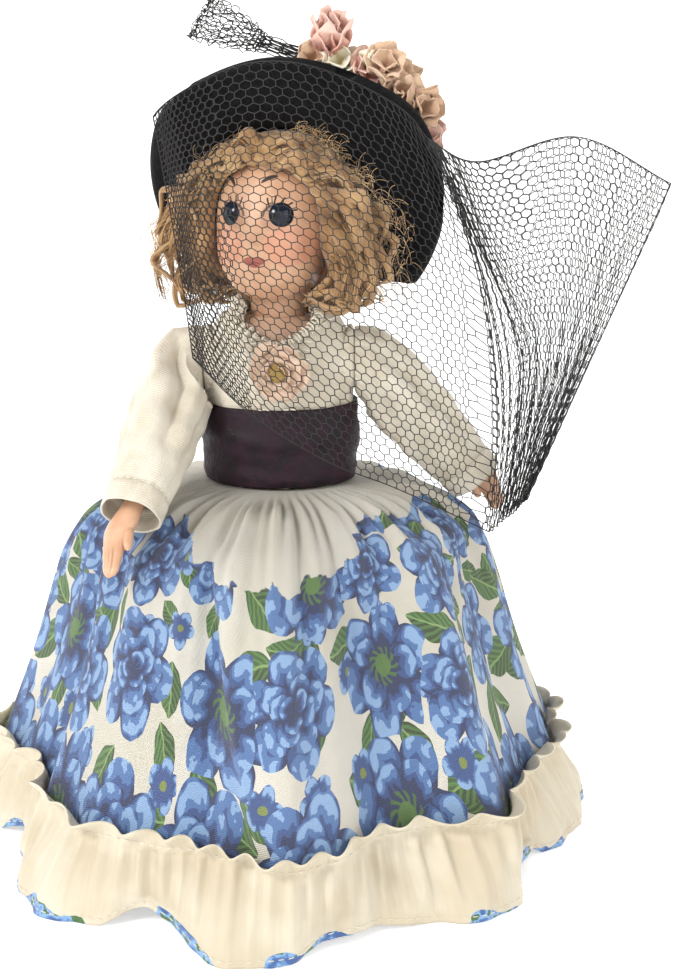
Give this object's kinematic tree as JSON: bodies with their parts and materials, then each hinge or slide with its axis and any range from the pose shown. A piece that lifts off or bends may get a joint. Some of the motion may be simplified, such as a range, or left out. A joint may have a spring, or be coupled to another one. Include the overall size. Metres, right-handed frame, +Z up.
{
  "type": "topsy turvy doll",
  "caption": "Two half dolls joined at the waist under one reversible full skirt; the upper one wears a felt halo hat with a net veil.",
  "frame": {"origin": "middle of the flat crown of the lower doll's cap, on the floor", "axes": "+Z up along the two bodies, the faces towards -Y, +X to the upper doll's left hand side"},
  "size_m": [0.1907, 0.1699, 0.2201],
  "materials": {
    "body_plastic": "aged body plastic",
    "face_plastic": "painted hard plastic",
    "eye_glass": "glossy",
    "lead": "dull grey metal",
    "steel_wire": "drawn wire",
    "elastic": "natural",
    "plug_wood": "turned, bare",
    "mohair": "curled mohair",
    "black_felt": "felt",
    "ivory_crepe": "crepe",
    "ivory_lace": "lace",
    "peach_organza": "sheer",
    "yellow_knot": "ribbon",
    "aubergine_satin": "satin",
    "printed_faille": "ribbed, border print",
    "inner_print": "cotton print",
    "cream_satin": "satin",
    "cap_cotton": "cotton",
    "pink_cloth": "starched cloth",
    "peach_cloth": "starched cloth",
    "tan_cloth": "starched cloth",
    "ivory_cloth": "starched cloth",
    "flower_wire": "wrapped wire",
    "black_tulle": "open net"
  },
  "bodies": {
    "body": {"upper_torso": "body_plastic", "lower_torso": "body_plastic", "waist_plug": "plug_wood", "upper_arm_band": "elastic", "lower_arm_band": "elastic", "upper_neck_hook": "steel_wire", "lower_neck_hook": "steel_wire", "upper_blouse": "ivory_crepe", "lower_blouse": "ivory_crepe", "upper_sash": "aubergine_satin", "lower_sash": "aubergine_satin", "outer_skirt": "printed_faille", "inner_skirt": "inner_print", "hem_ruffle": "cream_satin", "neckline_lace": "ivory_lace", "throat_flower": "peach_organza", "throat_knot": "yellow_knot"},
    "upper_head": {"upper_head": "face_plastic", "upper_neck_washer": "steel_wire", "upper_wig": "mohair", "halo_hat": "black_felt", "blossom_wire": "flower_wire", "pink_blossom": "pink_cloth", "ivory_bud": "ivory_cloth", "cloth_rose": "peach_cloth", "pink_petals": "pink_cloth", "tan_petal": "tan_cloth", "veil": "black_tulle"},
    "upper_eyes": {"upper_left_eye": "eye_glass", "upper_right_eye": "eye_glass", "upper_eye_rocker": "lead"},
    "upper_left_arm": {"upper_left_arm": "face_plastic", "upper_left_sleeve": "ivory_crepe", "upper_left_arm_hook": "steel_wire"},
    "upper_right_arm": {"upper_right_arm": "face_plastic", "upper_right_sleeve": "ivory_crepe", "upper_right_arm_hook": "steel_wire"},
    "lower_head": {"lower_head": "face_plastic", "lower_neck_washer": "steel_wire", "lower_wig": "mohair", "lower_cap": "cap_cotton"},
    "lower_eyes": {"lower_left_eye": "eye_glass", "lower_right_eye": "eye_glass", "lower_eye_rocker": "lead"},
    "lower_left_arm": {"lower_left_arm": "face_plastic", "lower_left_sleeve": "ivory_crepe", "lower_left_arm_hook": "steel_wire"},
    "lower_right_arm": {"lower_right_arm": "face_plastic", "lower_right_sleeve": "ivory_crepe", "lower_right_arm_hook": "steel_wire"}
  },
  "joints": [
    {"name": "upper_neck", "type": "hinge", "parent": "body", "child": "upper_head", "pos_m": [0, 0, 0.1356], "axis": [0, 0, 1], "range_deg": [-55, 75], "deforming": ["veil"]},
    {"name": "upper_eye_rock", "type": "hinge", "parent": "upper_head", "child": "upper_eyes", "pos_m": [-0.00422, -0.01224, 0.1651], "axis": [0.9455, -0.3256, 0], "range_deg": [0, 60]},
    {"name": "upper_left_shoulder", "type": "hinge", "parent": "body", "child": "upper_left_arm", "pos_m": [0.0198, 0, 0.1266], "axis": [-1, 0, 0], "range_deg": [0, 95], "deforming": ["veil"]},
    {"name": "upper_right_shoulder", "type": "hinge", "parent": "body", "child": "upper_right_arm", "pos_m": [-0.0198, 0, 0.1266], "axis": [-1, 0, 0], "range_deg": [0, 60]},
    {"name": "lower_neck", "type": "hinge", "parent": "body", "child": "lower_head", "pos_m": [0, 0, 0.0516], "axis": [0, 0, 1], "range_deg": [-60, 60]},
    {"name": "lower_eye_rock", "type": "hinge", "parent": "lower_head", "child": "lower_eyes", "pos_m": [0, -0.01295, 0.0221], "axis": [-1, 0, 0], "range_deg": [-60, 0]},
    {"name": "lower_left_shoulder", "type": "hinge", "parent": "body", "child": "lower_left_arm", "pos_m": [-0.0198, 0, 0.0606], "axis": [-1, 0, 0], "range_deg": [-60, 16]},
    {"name": "lower_right_shoulder", "type": "hinge", "parent": "body", "child": "lower_right_arm", "pos_m": [0.0198, 0, 0.0606], "axis": [-1, 0, 0], "range_deg": [-60, 16]}
  ]
}
